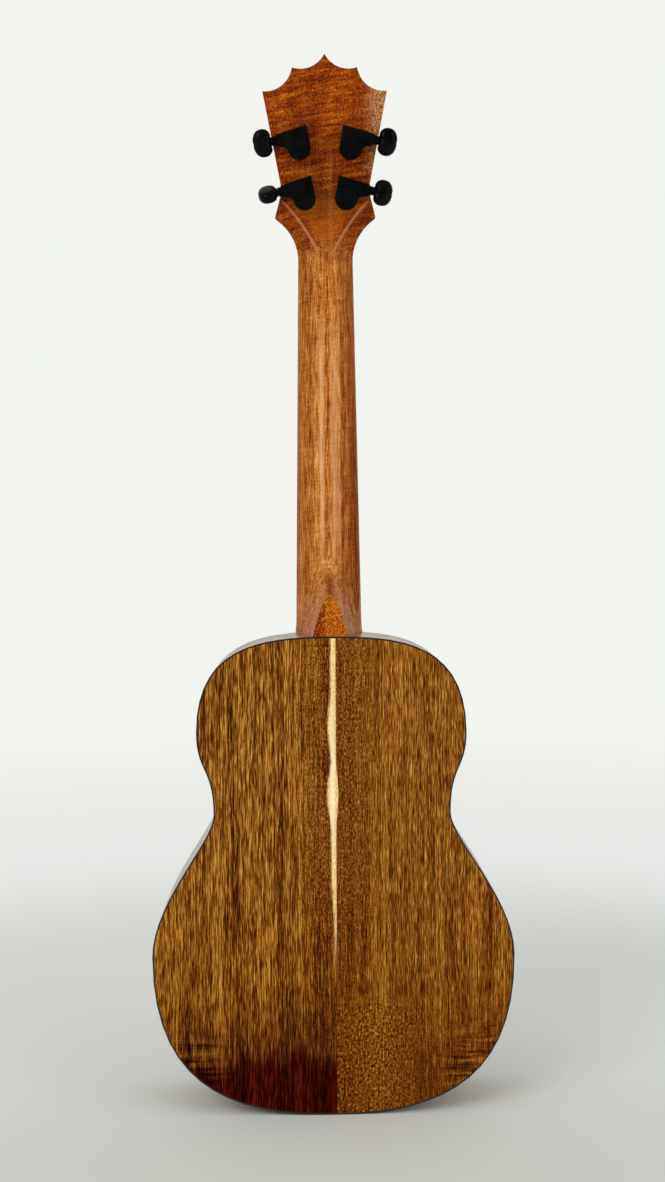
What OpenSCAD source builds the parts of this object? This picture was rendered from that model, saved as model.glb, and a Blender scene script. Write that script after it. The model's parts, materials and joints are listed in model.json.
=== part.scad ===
// Tenor ukulele built as its real pieces: a koa body with flat plates, a bolted neck with a
// scalloped head, a fretboard, four nylon strings and four sealed worm tuners.
// Millimetres. The origin is on the neck's centreline, on the glue face of the fretboard, where
// the nut starts. +Z runs up the neck to the head, the soundboard faces -Y, the back faces +Y.

/* [Strings] */
// Sounding length of the open strings, nut to saddle
scale_length = 432; // [425:1:440]
// Fret at which the neck meets the body
joint_fret = 14; // [13:1:15]
// Number of frets
fret_count = 19; // [17:1:19]
// Distance between neighbouring strings at the nut
nut_spacing = 8.8; // [8.4:0.1:9.2]
// Distance between neighbouring strings at the saddle
saddle_spacing = 13.6; // [12.5:0.1:14.5]
// Radius of a string
string_r = 0.35; // [0.25:0.05:0.45]

/* [Body outline] */
// Length of the body, neck joint to tail
body_length = 297.5; // [285:0.5:305]
// Widest width of the upper bout
upper_bout = 169; // [160:0.2:175]
// Width of the waist
waist = 148; // [138:0.5:155]
// Widest width of the lower bout
lower_bout = 226; // [215:0.2:235]
// Height of the upper bout's widest line above the tail
upper_bout_at = 238; // [232:1:244]
// Height of the waist above the tail
waist_at = 187; // [180:1:194]
// Height of the lower bout's widest line above the tail
lower_bout_at = 99; // [92:1:106]

/* [Body depth] */
// Depth of the body at the neck, over both plates
depth_at_neck = 60; // [55:1:65]
// Depth of the body at the tail, over both plates
depth_at_tail = 72; // [66:1:78]
// Thickness of the sides
side_t = 2; // [1.6:0.1:2.4]
// Thickness of the soundboard
top_t = 2; // [1.6:0.1:2.4]
// Thickness of the back
back_t = 2.2; // [1.8:0.1:2.6]
// Width of the binding round the back
binding_w = 1; // [0.8:0.1:1.6]
// Height of both bindings
binding_h = 3; // [2.8:0.1:4]
// Radius of the soundhole
soundhole_r = 28; // [25:1:30]

/* [Neck] */
// Width of the neck at the nut
nut_w = 36; // [34:0.5:38]
// Width of the neck at the body
joint_w = 43.2; // [40:0.2:45]
// Depth of the neck's wood at the nut
neck_depth_nut = 13.2; // [12.5:0.1:14.5]
// Depth of the neck's wood before the heel
neck_depth_heel = 15; // [14:0.5:17]
// Thickness of the fretboard
board_t = 5.5; // [4.5:0.1:6]
// Width of the flat end of the heel at the body
heel_cap_w = 22.4; // [20:0.2:25]
// Length of the flat end of the heel
heel_cap_l = 26; // [22:1:28]

/* [Head] */
// Angle that the head leans back
head_angle = 12; // [10:0.5:14]
// Thickness of the head's wood
head_t = 13; // [12:0.5:14]
// Thickness of the veneer on the head's front
veneer_t = 2; // [1.5:0.1:2.5]
// Distance from the nut to the tip of the crown
crown_tip = 133; // [130:1:136]
// Width across the crown's outer corners
crown_w = 79; // [74:0.2:82]
// Width of the head at its narrowest
head_narrow_w = 55.8; // [53:0.2:58]

/* [Tuners] */
// Distance of the lower posts from the nut
lower_post_at = 44; // [43:0.5:45]
// Distance of the upper posts from the nut
upper_post_at = 75; // [74:0.5:77]
// Distance of the lower posts from the centreline
lower_post_x = 13.4; // [13:0.1:14]
// Distance of the upper posts from the centreline
upper_post_x = 16.3; // [16:0.1:17]
// Angle that each knob's shaft points down, for the strings g, c, e and a
tuner_tilts = [10.5, 9.5, 10.5, 12]; // [7:0.5:14]
// Teeth on each worm wheel
wheel_teeth = 14; // [14:1:14]
// Rest turn of each knob, for the strings g, c, e and a
knob_turns = [27, 6, 0, 67]; // [0:1:180]

/* [Hidden] */
$fn = 48;

// Colours
koa = [0.56, 0.31, 0.13];
spruce = [0.86, 0.72, 0.5];
mahogany = [0.6, 0.3, 0.12];
ebony = [0.09, 0.08, 0.08];
bone = [0.93, 0.9, 0.82];
black_metal = [0.06, 0.06, 0.07];
steel = [0.75, 0.75, 0.77];
brass = [0.8, 0.65, 0.3];

// Lengthwise places
function fret_z(n) = -scale_length * (1 - pow(2, -n / 12));
joint_z = fret_z(joint_fret);
tail_z = joint_z - body_length;
saddle_z = -scale_length - 1.5;
board_end = fret_z(fret_count) - 3;
soundhole_z = board_end - soundhole_r - 1;
back_tilt = atan((depth_at_tail - depth_at_neck) / body_length);
far = 400;

// Curve handles of the body's half outline, from the top round to the tail
top_handle = 40;
shoulder_handle = 57;
upper_waist_handles = [24, 30];
lower_waist_handles = [16, 34];
hip_handle = 82;
tail_handle = 62;
curve_steps = 15;

function clamp01(x) = max(0, min(1, x));
function ease(a, b, x) = let(t = clamp01((x - a) / (b - a))) t * t * (3 - 2 * t);
function mix(a, b, t) = a + (b - a) * t;
function soft_max(a, b, r) = let(h = max(r - abs(a - b), 0) / r) max(a, b) + h * h * r / 4;
function soft_min(a, b, r) = -soft_max(-a, -b, r);

// ---- Body outline, in X and Z ----

function bezier(a, b, c, d, t) =
    pow(1 - t, 3) * a + 3 * pow(1 - t, 2) * t * b + 3 * (1 - t) * t * t * c + pow(t, 3) * d;

function curve(a, b, c, d) =
    [for (i = [0:curve_steps - 1]) bezier(a, b, c, d, i / curve_steps)];

function half_outline() =
    let(
        l = body_length,
        u = [upper_bout / 2, upper_bout_at],
        w = [waist / 2, waist_at],
        h = [lower_bout / 2, lower_bout_at]
    )
    concat(
        curve([0, l], [top_handle, l], u + [0, shoulder_handle], u),
        curve(u, u - [0, upper_waist_handles[0]], w + [0, upper_waist_handles[1]], w),
        curve(w, w - [0, lower_waist_handles[0]], h + [0, lower_waist_handles[1]], h),
        curve(h, h - [0, hip_handle], [tail_handle, 0], [0, 0]),
        [[0, 0]]
    );

function whole_outline() =
    let(half = half_outline(), n = len(half))
    [
        for (p = half) [p[0], p[1] + tail_z],
        for (i = [n - 2:-1:1]) [-half[i][0], half[i][1] + tail_z]
    ];

outline = whole_outline();

// The outline moved inwards by d along each point's own normal
function inset(d) =
    let(n = len(outline))
    [
        for (i = [0:n - 1])
            let(along = outline[(i + 1) % n] - outline[(i + n - 1) % n])
            outline[i] + d * [along[1], -along[0]] / norm(along)
    ];

module body_2d(d) polygon(inset(d));

module ring_2d(outer, inner) {
    difference() {
        body_2d(outer);
        body_2d(inner);
    }
}

// A flat shape in X and Z, thickened from y0 to y1
module upright(y0, y1) {
    translate([0, y1, 0]) rotate([90, 0, 0]) linear_extrude(y1 - y0) children();
}

// A slab parallel to the tilted back, from y0 to y1 measured from its outer face
module back_slab(y0, y1) {
    translate([0, depth_at_neck, joint_z]) rotate([back_tilt, 0, 0])
        translate([-far / 2, y0, -far]) cube([far, y1 - y0, far * 1.4]);
}

module right_half() translate([0, -far, -2 * far]) cube([far, 2 * far, 3 * far]);
module left_half() mirror([1, 0, 0]) right_half();

// ---- Body ----

back_edge = binding_w;
front_edge = 1.5;
lining_w = 5;
lining_h = 7;
graft_w = 10;
block_w = 60;
neck_block_l = 26;
tail_block_l = 14;
tail_block_w = 50;

module back_plate() {
    color(koa) intersection() {
        upright(0, far / 4) body_2d(back_edge);
        back_slab(-back_t, 0);
    }
}

module back_plate_right() intersection() { back_plate(); right_half(); }
module back_plate_left() intersection() { back_plate(); left_half(); }

module back_binding() {
    color(ebony) intersection() {
        upright(0, far / 4) ring_2d(0, back_edge);
        back_slab(-binding_h, 0);
    }
}

module front_binding() {
    color(ebony) upright(0, binding_h) ring_2d(0, front_edge);
}

// The bent sides, less the rebates for both bindings, the slot of the end graft and the bolt's hole
module sides() {
    color(koa) difference() {
        upright(top_t, far / 4) ring_2d(0, side_t);
        back_slab(-back_t, far);
        intersection() {
            upright(0, far / 4) ring_2d(-1, back_edge);
            back_slab(-binding_h, far);
        }
        upright(0, binding_h) ring_2d(-1, front_edge);
        translate([-graft_w / 2, -1, tail_z - 5]) cube([graft_w, far, 12]);
        bolt_hole();
    }
}

module side_right() intersection() { sides(); right_half(); }
module side_left() intersection() { sides(); left_half(); }

module end_graft() {
    color(ebony) difference() {
        intersection() {
            upright(binding_h, far / 4) ring_2d(0, side_t);
            translate([-graft_w / 2, -1, tail_z - 5]) cube([graft_w, far, 12]);
        }
        back_slab(-binding_h, far);
    }
}

// The space inside the sides and between the plates
module inside(extra = 0) {
    difference() {
        upright(top_t, far / 4) body_2d(side_t + extra);
        back_slab(-back_t, far);
    }
}

module neck_block() {
    color(mahogany) difference() {
        intersection() {
            inside();
            translate([-block_w / 2, 0, joint_z - side_t - neck_block_l])
                cube([block_w, far, neck_block_l + 10]);
        }
        bolt_hole();
    }
}

module bolt_hole() translate([0, bolt_y, joint_z - 60]) cylinder(h = 80, r = bolt_r + 0.3);

module tail_block() {
    color(mahogany) intersection() {
        inside();
        translate([-tail_block_w / 2, 0, tail_z - 10])
            cube([tail_block_w, far, tail_block_l + 10 + side_t]);
    }
}

module block_gaps() {
    translate([-block_w / 2, -1, joint_z - side_t - neck_block_l]) cube([block_w, far, far]);
    translate([-tail_block_w / 2, -1, tail_z - far + tail_block_l + side_t])
        cube([tail_block_w, far, far]);
}

module front_linings() {
    color(mahogany) difference() {
        upright(top_t, top_t + lining_h) ring_2d(side_t, side_t + lining_w);
        block_gaps();
    }
}

module back_linings() {
    color(mahogany) difference() {
        intersection() {
            upright(0, far / 4) ring_2d(side_t, side_t + lining_w);
            back_slab(-back_t - lining_h, -back_t);
        }
        block_gaps();
    }
}

// Ladder braces across the back, from lining to lining
back_brace_at = [248, 200, 140, 70];
brace_w = 8;
brace_h = 10;

module back_bars() {
    for (z = back_brace_at)
        translate([-far / 2, 0, tail_z + z - brace_w / 2]) cube([far, far, brace_w]);
}

module back_braces() {
    color(spruce) intersection() {
        upright(0, far / 4) body_2d(side_t + lining_w);
        back_slab(-back_t - brace_h, -back_t);
        back_bars();
    }
}

module back_seam_strip() {
    color(spruce) difference() {
        intersection() {
            upright(0, far / 4) body_2d(side_t);
            back_slab(-back_t - 2, -back_t);
            translate([-6, 0, tail_z]) cube([12, far, body_length]);
        }
        back_bars();
        block_gaps();
    }
}

rosette_r = [31, 35];
rosette_t = 0.8;

module soundboard() {
    color(koa) difference() {
        upright(0, top_t) body_2d(front_edge);
        translate([0, -5, soundhole_z]) rotate([-90, 0, 0]) cylinder(h = 10, r = soundhole_r);
        rosette_ring(-1, rosette_t);
    }
}

module rosette_ring(y0, y1) {
    translate([0, y0, soundhole_z]) rotate([-90, 0, 0]) difference() {
        cylinder(h = y1 - y0, r = rosette_r[1]);
        translate([0, 0, -1]) cylinder(h = y1 - y0 + 2, r = rosette_r[0]);
    }
}

module soundboard_right() intersection() { soundboard(); right_half(); }
module soundboard_left() intersection() { soundboard(); left_half(); }

// The rosette stops where the end of the fretboard covers it
module rosette() {
    color(ebony) difference() {
        rosette_ring(0, rosette_t);
        translate([-far / 2, -1, board_end]) cube([far, 5, far]);
    }
}

cross_brace_at = [soundhole_z + 42, soundhole_z - 40];
patch_size = [96, 2, 30];
fan_angle = 9;

module patch_block(below) {
    translate([-patch_size[0] / 2, top_t - below, bridge_mid - patch_size[2] / 2])
        cube([patch_size[0], patch_size[1] + below, patch_size[2]]);
}

module bridge_patch() color(mahogany) patch_block(0);

// Three fan braces below the soundhole, notched over the bridge patch
fan_x = 30;
fan_l = 120;

module fan_bar(side) {
    translate([fan_x * side, top_t, cross_brace_at[1] - brace_w / 2 - 4])
        rotate([0, -fan_angle * side, 0]) translate([-3, 0, -fan_l]) cube([6, 7, fan_l]);
}

module soundboard_braces() {
    color(spruce) {
        for (z = cross_brace_at) intersection() {
            upright(1, far / 4) body_2d(side_t + lining_w);
            translate([-far / 2, top_t, z - brace_w / 2]) cube([far, brace_h, brace_w]);
        }
        for (side = [-1, 0, 1]) difference() {
            fan_bar(side);
            patch_block(1);
        }
    }
}

// ---- Bridge ----

bridge_w = 84;
bridge_h = 8;
bridge_low = 3.5;
bridge_top = saddle_z + 6;
bridge_end = saddle_z - 18;
bridge_mid = (bridge_top + bridge_end) / 2;
tie_z = bridge_end + 5;
tie_y = -5;
saddle_t = 3;
saddle_w = 52;
saddle_y = -11.4;
saddle_floor = -4;

module bridge() {
    color(ebony) difference() {
        union() {
            translate([-28, -bridge_h, bridge_end]) cube([56, bridge_h, bridge_top - bridge_end]);
            upright(-bridge_low, 0) bridge_wings();
        }
        translate([-saddle_w / 2, -20, saddle_z - saddle_t / 2])
            cube([saddle_w, 20 + saddle_floor, saddle_t]);
        translate([-23, -20, tie_z + 3]) cube([46, 20 + saddle_floor, 5]);
        for (i = [0:3])
            translate([saddle_x(i), tie_y, bridge_end - 1]) cylinder(h = 12, r = 0.6);
    }
}

module bridge_wings() {
    hull() for (side = [-1, 1])
        translate([side * (bridge_w / 2 - 11), bridge_mid]) circle(r = 11);
}

module saddle() {
    color(bone) difference() {
        translate([-saddle_w / 2, saddle_y, saddle_z - saddle_t / 2])
            cube([saddle_w, saddle_floor - saddle_y, saddle_t]);
        for (side = [-1, 1])
            translate([0, saddle_y, saddle_z + side * 2.4]) rotate([45 * side, 0, 0])
                cube([saddle_w + 2, 2, 2], center = true);
    }
}

// ---- Fretboard ----

function board_half(z) = nut_w / 2 + (joint_w - nut_w) / 2 * z / joint_z;

module fretboard() {
    color(ebony) difference() {
        upright(-board_t, 0) polygon([
            [-board_half(0), 0], [board_half(0), 0],
            [board_half(board_end), board_end], [-board_half(board_end), board_end]
        ]);
        for (n = [1:fret_count]) fret_tang(n, 1);
        marker_holes();
    }
}

module fret_tang(n, spare) {
    z = fret_z(n);
    translate([-board_half(z) - spare, -board_t - 0.5, z - 0.3])
        cube([2 * (board_half(z) + spare), 2, 0.6]);
}

// Each fret is a low round crown on a tang
module frets() {
    color(steel) for (n = [1:fret_count]) {
        z = fret_z(n);
        half = board_half(z) - 0.4;
        fret_tang(n, -0.4);
        intersection() {
            translate([-half, -board_t + 0.6, z]) rotate([0, 90, 0]) cylinder(h = 2 * half, r = 1.6);
            translate([-half, -board_t - 2, z - 2]) cube([2 * half, 2, 4]);
        }
    }
}

marker_frets = [5, 7, 10, 12, 15];
marker_r = 3;

function between_frets(n) = (fret_z(n) + fret_z(n - 1)) / 2;

module marker_shapes(grow) {
    for (n = marker_frets) {
        z = between_frets(n);
        for (x = n == 12 ? [-9, 9] : [0])
            translate([x, -board_t - grow, z]) rotate([-90, 0, 0]) cylinder(h = 1 + grow, r = marker_r);
        translate([-board_half(z) - grow, -board_t / 2, z]) rotate([0, 90, 0])
            cylinder(h = 2 + grow, r = 1);
    }
}

module marker_holes() marker_shapes(1);

module fret_markers() {
    color(bone) intersection() {
        marker_shapes(0);
        upright(-board_t, 0) polygon([
            [-board_half(0), 0], [board_half(0), 0],
            [board_half(board_end), board_end], [-board_half(board_end), board_end]
        ]);
    }
}

nut_l = 4.6;
nut_y = -8;
string_nut_y = -7.4;

module nut() {
    color(bone) difference() {
        translate([-nut_w / 2, nut_y, 0]) cube([nut_w, -nut_y, nut_l]);
        translate([-nut_w, nut_y - 1.3, nut_l + 1]) rotate([45, 0, 0]) cube([2 * nut_w, 2.4, 2.4]);
    }
}

// ---- Neck and head ----

head_start = 5;
side_slope = (crown_w - head_narrow_w) / 2 / 61.2;
narrow_at = 49;
ear_slope = 0.28;
ear_arc_r = 31;
ear_arc_at = 4.6;
ridge_start = 4.3;
ridge_rate = 0.0165;
ridge_fade = 195;
heel_start = joint_z + heel_cap_l + 28;
heel_apex = joint_z + heel_cap_l;
loft_end = joint_z - 4;
heel_y = depth_at_neck - 0.5;

module head_frame() {
    translate([0, 0, head_start]) rotate([-head_angle, 0, 0]) translate([0, 0, -head_start]) children();
}

// Half width of the head at the distance u above the nut
function ear_half(u) =
    let(d = clamp01((u - ear_arc_at) / ear_arc_r))
    nut_w / 2 - 0.1 + ear_arc_r * (1 - sqrt(1 - d * d));
function head_half(u) =
    soft_min(
        ear_half(u),
        soft_max(
            head_narrow_w / 2 + (narrow_at - u) * ear_slope,
            head_narrow_w / 2 + (u - narrow_at) * side_slope,
            1
        ),
        2.4
    );
function neck_half(u) = u < 0 ? board_half(u) : head_half(u);

// The flat of the head narrows between two curved ridges, which fade down the neck
function ridge_half(u) =
    u > head_start ? min(neck_half(u), ridge_start + ridge_rate * pow(u - head_start, 2))
    : ridge_start * clamp01(1 + (u - head_start) / ridge_fade);

// Height of the heel's spine, and the gothic arch of each slice through the heel
function neck_depth(u) = mix(neck_depth_nut, neck_depth_heel, clamp01(u / heel_start));
function spine_y(u) =
    let(t = clamp01((heel_start - u) / (heel_start - heel_apex)))
    mix(neck_depth(u), heel_plane(u), 1 - sqrt(1 - t * t));
function heel_plane(u) = heel_y - (u - joint_z) * tan(back_tilt);
function depth_at(u) =
    u >= heel_start ? mix(neck_depth(min(u, 0)), head_t, ease(-5, 15, u)) : spine_y(u);
function slice_apex(y) =
    let(k = clamp01((y - neck_depth_heel) / (heel_y - neck_depth_heel)))
    heel_start - (heel_start - heel_apex) * sqrt(1 - (1 - k) * (1 - k));
function slice_half(y) =
    heel_cap_w / 2
    + (joint_w - heel_cap_w) / 2 * pow(1 - clamp01((y - 8) / (heel_y - 8)), 1.9);
function heel_half(u, y) =
    let(apex = slice_apex(y))
    u >= apex ? 0 : slice_half(y) * pow(clamp01((apex - u) / (apex - joint_z)), 0.58);

// Half width of the section at u, at the height y above the glue face
function round_half(u, y) =
    let(k = clamp01(y / neck_depth(min(u, 0))), c = ridge_half(u))
    c * (k < 1 ? 1 : 0) + (neck_half(u) - c) * pow(1 - pow(k, 2.3), 1 / 1.9);
function edge_rise(u) = clamp01(1 - 0.5 * (neck_half(u) - ridge_half(u)) / head_t);
function scoop_half(u, y) =
    let(e = edge_rise(u), k = y / head_t, c = ridge_half(u))
    k <= e || e > 0.995 ? neck_half(u)
    : c + (neck_half(u) - c) * pow(clamp01(1 - (k - e) / (1 - e)), 1.25);
function half_at(u, y) =
    u > -12 ? mix(round_half(u, y), scoop_half(u, y), ease(-12, 14, u))
    : u < heel_start ? soft_max(round_half(u, y), heel_half(u, y), 2)
    : round_half(u, y);

wall_steps = 4;
back_steps = 15;
function level(u, j) =
    let(e = u > -12 ? mix(0.3, edge_rise(u), ease(-12, 14, u)) : 0.3)
    j <= wall_steps ? e * j / wall_steps
    : e + (1 - e) * sin(90 * (j - wall_steps) / back_steps);

// A point of the section at u: x across, y away from the glue face, in the tilted section plane
function section_point(u, x, y) =
    let(
        tilt = head_angle * ease(-10, 20, u),
        past = max(u - head_start, 0),
        foot = [
            0,
            past * sin(head_angle),
            min(u, head_start) + past * cos(head_angle)
        ]
    )
    foot + [x, y * cos(tilt), -y * sin(tilt)];

function half_section(u) =
    [
        for (j = [0:wall_steps + back_steps])
            let(
                last = j == wall_steps + back_steps,
                y = depth_at(u) * level(u, j),
                x = last ? (u < heel_apex ? heel_half(u, y) : ridge_half(u)) : half_at(u, y)
            )
            [max(x, 0.05), y]
    ];

function section(u) =
    let(half = half_section(u), n = len(half))
    [
        for (j = [0:n - 1]) section_point(u, half[j][0], half[j][1]),
        for (j = [n - 1:-1:0]) section_point(u, -half[j][0], half[j][1])
    ];

// Stations are close together in the heel and round the ears, and far apart between them
heel_steps = 12;
stations = concat(
    [for (i = [0:8]) mix(loft_end, heel_apex - 1, i / 8)],
    [for (i = [1:heel_steps]) mix(heel_apex, heel_start, 1 - cos(90 * i / heel_steps))],
    [for (i = [1:10]) mix(heel_start, -14, i / 10)],
    [for (u = [-10:4:22]) u],
    [for (u = [24.5:1.5:46]) u],
    [narrow_at - 1, narrow_at, narrow_at + 1.5, crown_tip + 6]
);

module loft(rings) {
    m = len(rings[0]);
    n = len(rings);
    polyhedron(
        points = [for (r = rings) each r],
        faces = concat(
            [[for (j = [0:m - 1]) j]],
            [for (i = [0:n - 2], j = [0:m - 1])
                [i * m + j, (i + 1) * m + j, (i + 1) * m + (j + 1) % m, i * m + (j + 1) % m]],
            [[for (j = [m - 1:-1:0]) (n - 1) * m + j]]
        )
    );
}

// The crown: three tips above four scallops of one radius
scallop_r = 17.3;
crown_mid = [20.5, crown_tip - 8.3];
crown_corner = [crown_w / 2, crown_tip - 22.8];
scallops = [[15.2, crown_tip + 8.1], [37.7, crown_tip - 5.45]];

module crown_cutter_2d() {
    polygon([
        [0, crown_tip], crown_mid, crown_corner, [60, crown_corner[1]], [60, far],
        [-60, far], [-60, crown_corner[1]], [-crown_corner[0], crown_corner[1]],
        [-crown_mid[0], crown_mid[1]]
    ]);
    for (side = [-1, 1], c = scallops)
        translate([side * c[0], c[1]]) circle(r = scallop_r, $fn = 96);
}

module crown_cutter() head_frame() upright(-20, 40) crown_cutter_2d();

bolt_y = 30;
bolt_r = 3;
insert_r = 4.5;
insert_l = 13;

module neck() {
    color(mahogany) difference() {
        loft([for (u = stations) section(u)]);
        crown_cutter();
        upright(-1, far / 4) body_2d(0);
        post_holes();
        translate([0, bolt_y, joint_z - 5]) cylinder(h = insert_l + 5, r = insert_r);
    }
}

module post_holes() {
    for (i = [0:3]) tuner_frame(i) {
        translate([0, 0, -head_t - 5]) cylinder(h = head_t + 15, r = sleeve_r + 0.05);
        translate([pin_at[0], pin_at[1], -head_t - 1]) cylinder(h = pin_l / 2 + 1, r = pin_r);
    }
}

module headplate() {
    color(ebony) difference() {
        head_frame() upright(-veneer_t, 0) polygon(head_outline());
        crown_cutter();
        post_holes();
        translate([-far / 2, -far / 2, nut_l - far]) cube([far, far, far]);
    }
}

function head_outline() =
    let(us = [for (u = stations) if (u > -3) u])
    [
        for (u = us) [neck_half(u), u],
        for (i = [len(us) - 1:-1:0]) [-neck_half(us[i]), us[i]]
    ];

module neck_insert() {
    color(brass) difference() {
        translate([0, bolt_y, joint_z + 0.2]) cylinder(h = insert_l - 0.2, r = insert_r);
        translate([0, bolt_y, joint_z - 1]) cylinder(h = insert_l, r = bolt_r);
    }
}

module neck_bolt() {
    head_z = joint_z - side_t - neck_block_l;
    color(steel) {
        translate([0, bolt_y, head_z]) cylinder(h = neck_block_l + side_t + insert_l - 2, r = bolt_r);
        difference() {
            translate([0, bolt_y, head_z - 4]) cylinder(h = 4, r = 5.5);
            translate([0, bolt_y, head_z - 5]) cylinder(h = 3.5, r = 2.5, $fn = 6);
        }
    }
}

// ---- Strings ----

// The strings g, c, e and a run from left to right in the front view
function nut_x(i) = (i - 1.5) * nut_spacing;
function saddle_x(i) = (i - 1.5) * saddle_spacing;
function post_side(i) = i < 2 ? -1 : 1;
function is_upper(i) = i == 1 || i == 2;
function post_x(i) = post_side(i) * (is_upper(i) ? upper_post_x : lower_post_x);
function post_at(i) = is_upper(i) ? upper_post_at : lower_post_at;

waist_r = 2.3;
winding_z = 6.8;
winding_r = waist_r + string_r;
string_gap = 3;

// A point of the head frame, given across, up from the nut and out of the wood's front
function head_point(x, u, out) =
    let(past = u - head_start)
    [
        x,
        past * sin(head_angle) - out * cos(head_angle),
        head_start + past * cos(head_angle) + out * sin(head_angle)
    ];

// A string: eight-sided rings across its path, which climbs all the way
string_sides = 8;

module string_path(points) {
    loft([for (p = points)
        [for (k = [0:string_sides - 1])
            let(a = -360 * k / string_sides)
            p + string_r * [cos(a), sin(a), 0]]]);
}

module strings() {
    color(bone) for (i = [0:3]) {
        over_nut = [nut_x(i), string_nut_y, nut_l / 2];
        tangent = head_point(post_x(i) - post_side(i) * winding_r, post_at(i), winding_z);
        reach = norm(tangent - over_nut);
        string_path([
            [saddle_x(i), tie_y, tie_z - 3],
            [saddle_x(i), tie_y, tie_z + 5],
            [saddle_x(i), saddle_y - string_r, saddle_z],
            over_nut,
            mix(over_nut, tangent, 1 - string_gap / reach)
        ]);
    }
}

// ---- Tuners ----
// Each tuner's frame: x along the knob's shaft, y up, z out of the head's front, with the post
// on the z axis. The tuners of the other side are mirrored, but their worms keep their hand.

housing_t = 11;
worm_y = 7.5;
worm_z = -head_t - 5.5;
wheel_r = 5.25;
worm_r = worm_y - wheel_r;
tooth_h = 0.7;
tooth_gap = 0.85;
pressure = 20;
worm_pitch = 2 * PI * wheel_r / wheel_teeth;
tooth_half = 0.21 * worm_pitch;
worm_core_r = 1.45;
worm_half_l = 3.9;
shaft_r = 1.75;
post_r = 3;
sleeve_r = 4.2;
running = 0.05;
pin_at = [0, 10.8];
pin_r = 0.9;
pin_l = 6;
wall = 0.8;
cover_t = 1.2;
wheel_t = 3;
knob_in = 15.9;
knob_l = 12.2;

module tuner_frame(i) {
    side = post_side(i);
    head_frame() translate([post_x(i), 0, post_at(i)]) mirror([side < 0 ? 1 : 0, 0, 0])
        rotate([90, 0, 0]) rotate([0, 0, -tuner_tilts[i]]) children();
}

// The outline of the housing: a round bulb over the wheel and a corner over the worm
module housing_2d(shrink = 0) {
    circle(r = 7.2 - shrink);
    polygon([
        [-7.2 + shrink, 0], [-7.2 + shrink, 13.3 - shrink], [9 - shrink, 11.7 - shrink],
        [9 - shrink, 3], [7.2 - shrink, 0]
    ]);
}

module housing_arm_2d() polygon([[0, 12.6], [13.4, 11], [13.4, 4], [7.2, 1.9], [0, 1.9]]);

module tuner_housing(i) {
    back = -head_t - housing_t;
    color(black_metal) tuner_frame(i) difference() {
        union() {
            translate([0, 0, back]) linear_extrude(housing_t) housing_2d();
            translate([0, 0, back + 1.5]) linear_extrude(housing_t - 3) housing_arm_2d();
            translate([12, worm_y, worm_z]) rotate([0, 90, 0]) cylinder(h = 3.6, r = 2.9);
            translate([0, 0, -head_t - 1]) cylinder(h = 5.5, r = sleeve_r);
        }
        translate([0, 0, back - 1]) linear_extrude(1 + cover_t) housing_2d(wall);
        translate([0, 0, back]) cylinder(h = housing_t - 1.5, r = 6.3);
        translate([-5.2, worm_y, worm_z]) rotate([0, 90, 0]) cylinder(h = 10.7, r = 3.25);
        translate([-6.4, worm_y, worm_z]) rotate([0, 90, 0]) cylinder(h = 5, r = 1.25 + running);
        translate([0, worm_y, worm_z]) rotate([0, 90, 0]) cylinder(h = 20, r = shaft_r + running);
        translate([0, 0, back]) cylinder(h = far / 4, r = post_r + running);
        translate([pin_at[0], pin_at[1], -head_t - 1.6]) cylinder(h = 5, r = pin_r);
    }
}

module tuner_covers() {
    color(black_metal) for (i = [0:3]) tuner_frame(i)
        translate([0, 0, -head_t - housing_t]) linear_extrude(cover_t) housing_2d(wall);
}

module tuner_pins() {
    color(steel) for (i = [0:3]) tuner_frame(i)
        translate([pin_at[0], pin_at[1], -head_t - 1.6]) cylinder(h = pin_l / 2 + 1.6, r = pin_r);
}

module tuner_bushings() {
    color(black_metal) for (i = [0:3]) tuner_frame(i) difference() {
        union() {
            translate([0, 0, veneer_t]) cylinder(h = 1.2, r = 5.4);
            translate([0, 0, -6]) cylinder(h = 6 + veneer_t, r = sleeve_r);
        }
        translate([0, 0, -7]) cylinder(h = 15, r = post_r + running);
    }
}

// One ridge of the worm: a trapezoid carried along its helix
function thread_half(r) = tooth_half - (r - worm_r) * tan(pressure);
function thread_section(turn, hand) =
    let(x = turn * worm_pitch, a = 180 + 360 * turn * hand, low = worm_core_r - 0.2, high = worm_r + tooth_h)
    [for (p = [[low, hand], [high, hand], [high, -hand], [low, -hand]])
        [x + p[1] * thread_half(p[0]), p[0] * cos(a), p[0] * sin(a)]];

module worm_thread(hand) {
    turns = (worm_half_l - thread_half(worm_core_r - 0.2)) / worm_pitch;
    steps = ceil(2 * turns * 20);
    loft([for (k = [0:steps]) thread_section(mix(-turns, turns, k / steps), hand)]);
}

module along_shaft(i) tuner_frame(i) translate([0, worm_y, worm_z]) children();

module worm_shaft(i) {
    color(steel) along_shaft(i) {
        worm_thread(post_side(i));
        rotate([0, 90, 0]) {
            translate([0, 0, -6.2]) cylinder(h = 3, r = 1.25);
            translate([0, 0, -worm_half_l]) cylinder(h = 2 * worm_half_l, r = worm_core_r);
            translate([0, 0, worm_half_l]) cylinder(h = knob_in + 7 - worm_half_l, r = shaft_r);
        }
    }
}

// The knob: rounded slab sections along the shaft, blunt at both ends
knob_half_h = 8.7;
knob_half_t = 4.2;
knob_sides = 24;
knob_rings = 11;

function knob_ring(k) =
    let(
        a = mix(14, 166, k / knob_rings),
        x = knob_in + knob_l / 2 * (1 - cos(a) / cos(14)),
        h = knob_half_h * pow(sin(a), 0.55),
        t = knob_half_t * pow(sin(a), 0.5)
    )
    [for (j = [0:knob_sides - 1])
        let(b = 360 * j / knob_sides)
        [x, h * sign(cos(b)) * pow(abs(cos(b)), 0.8), t * sign(sin(b)) * pow(abs(sin(b)), 0.8)]];

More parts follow.
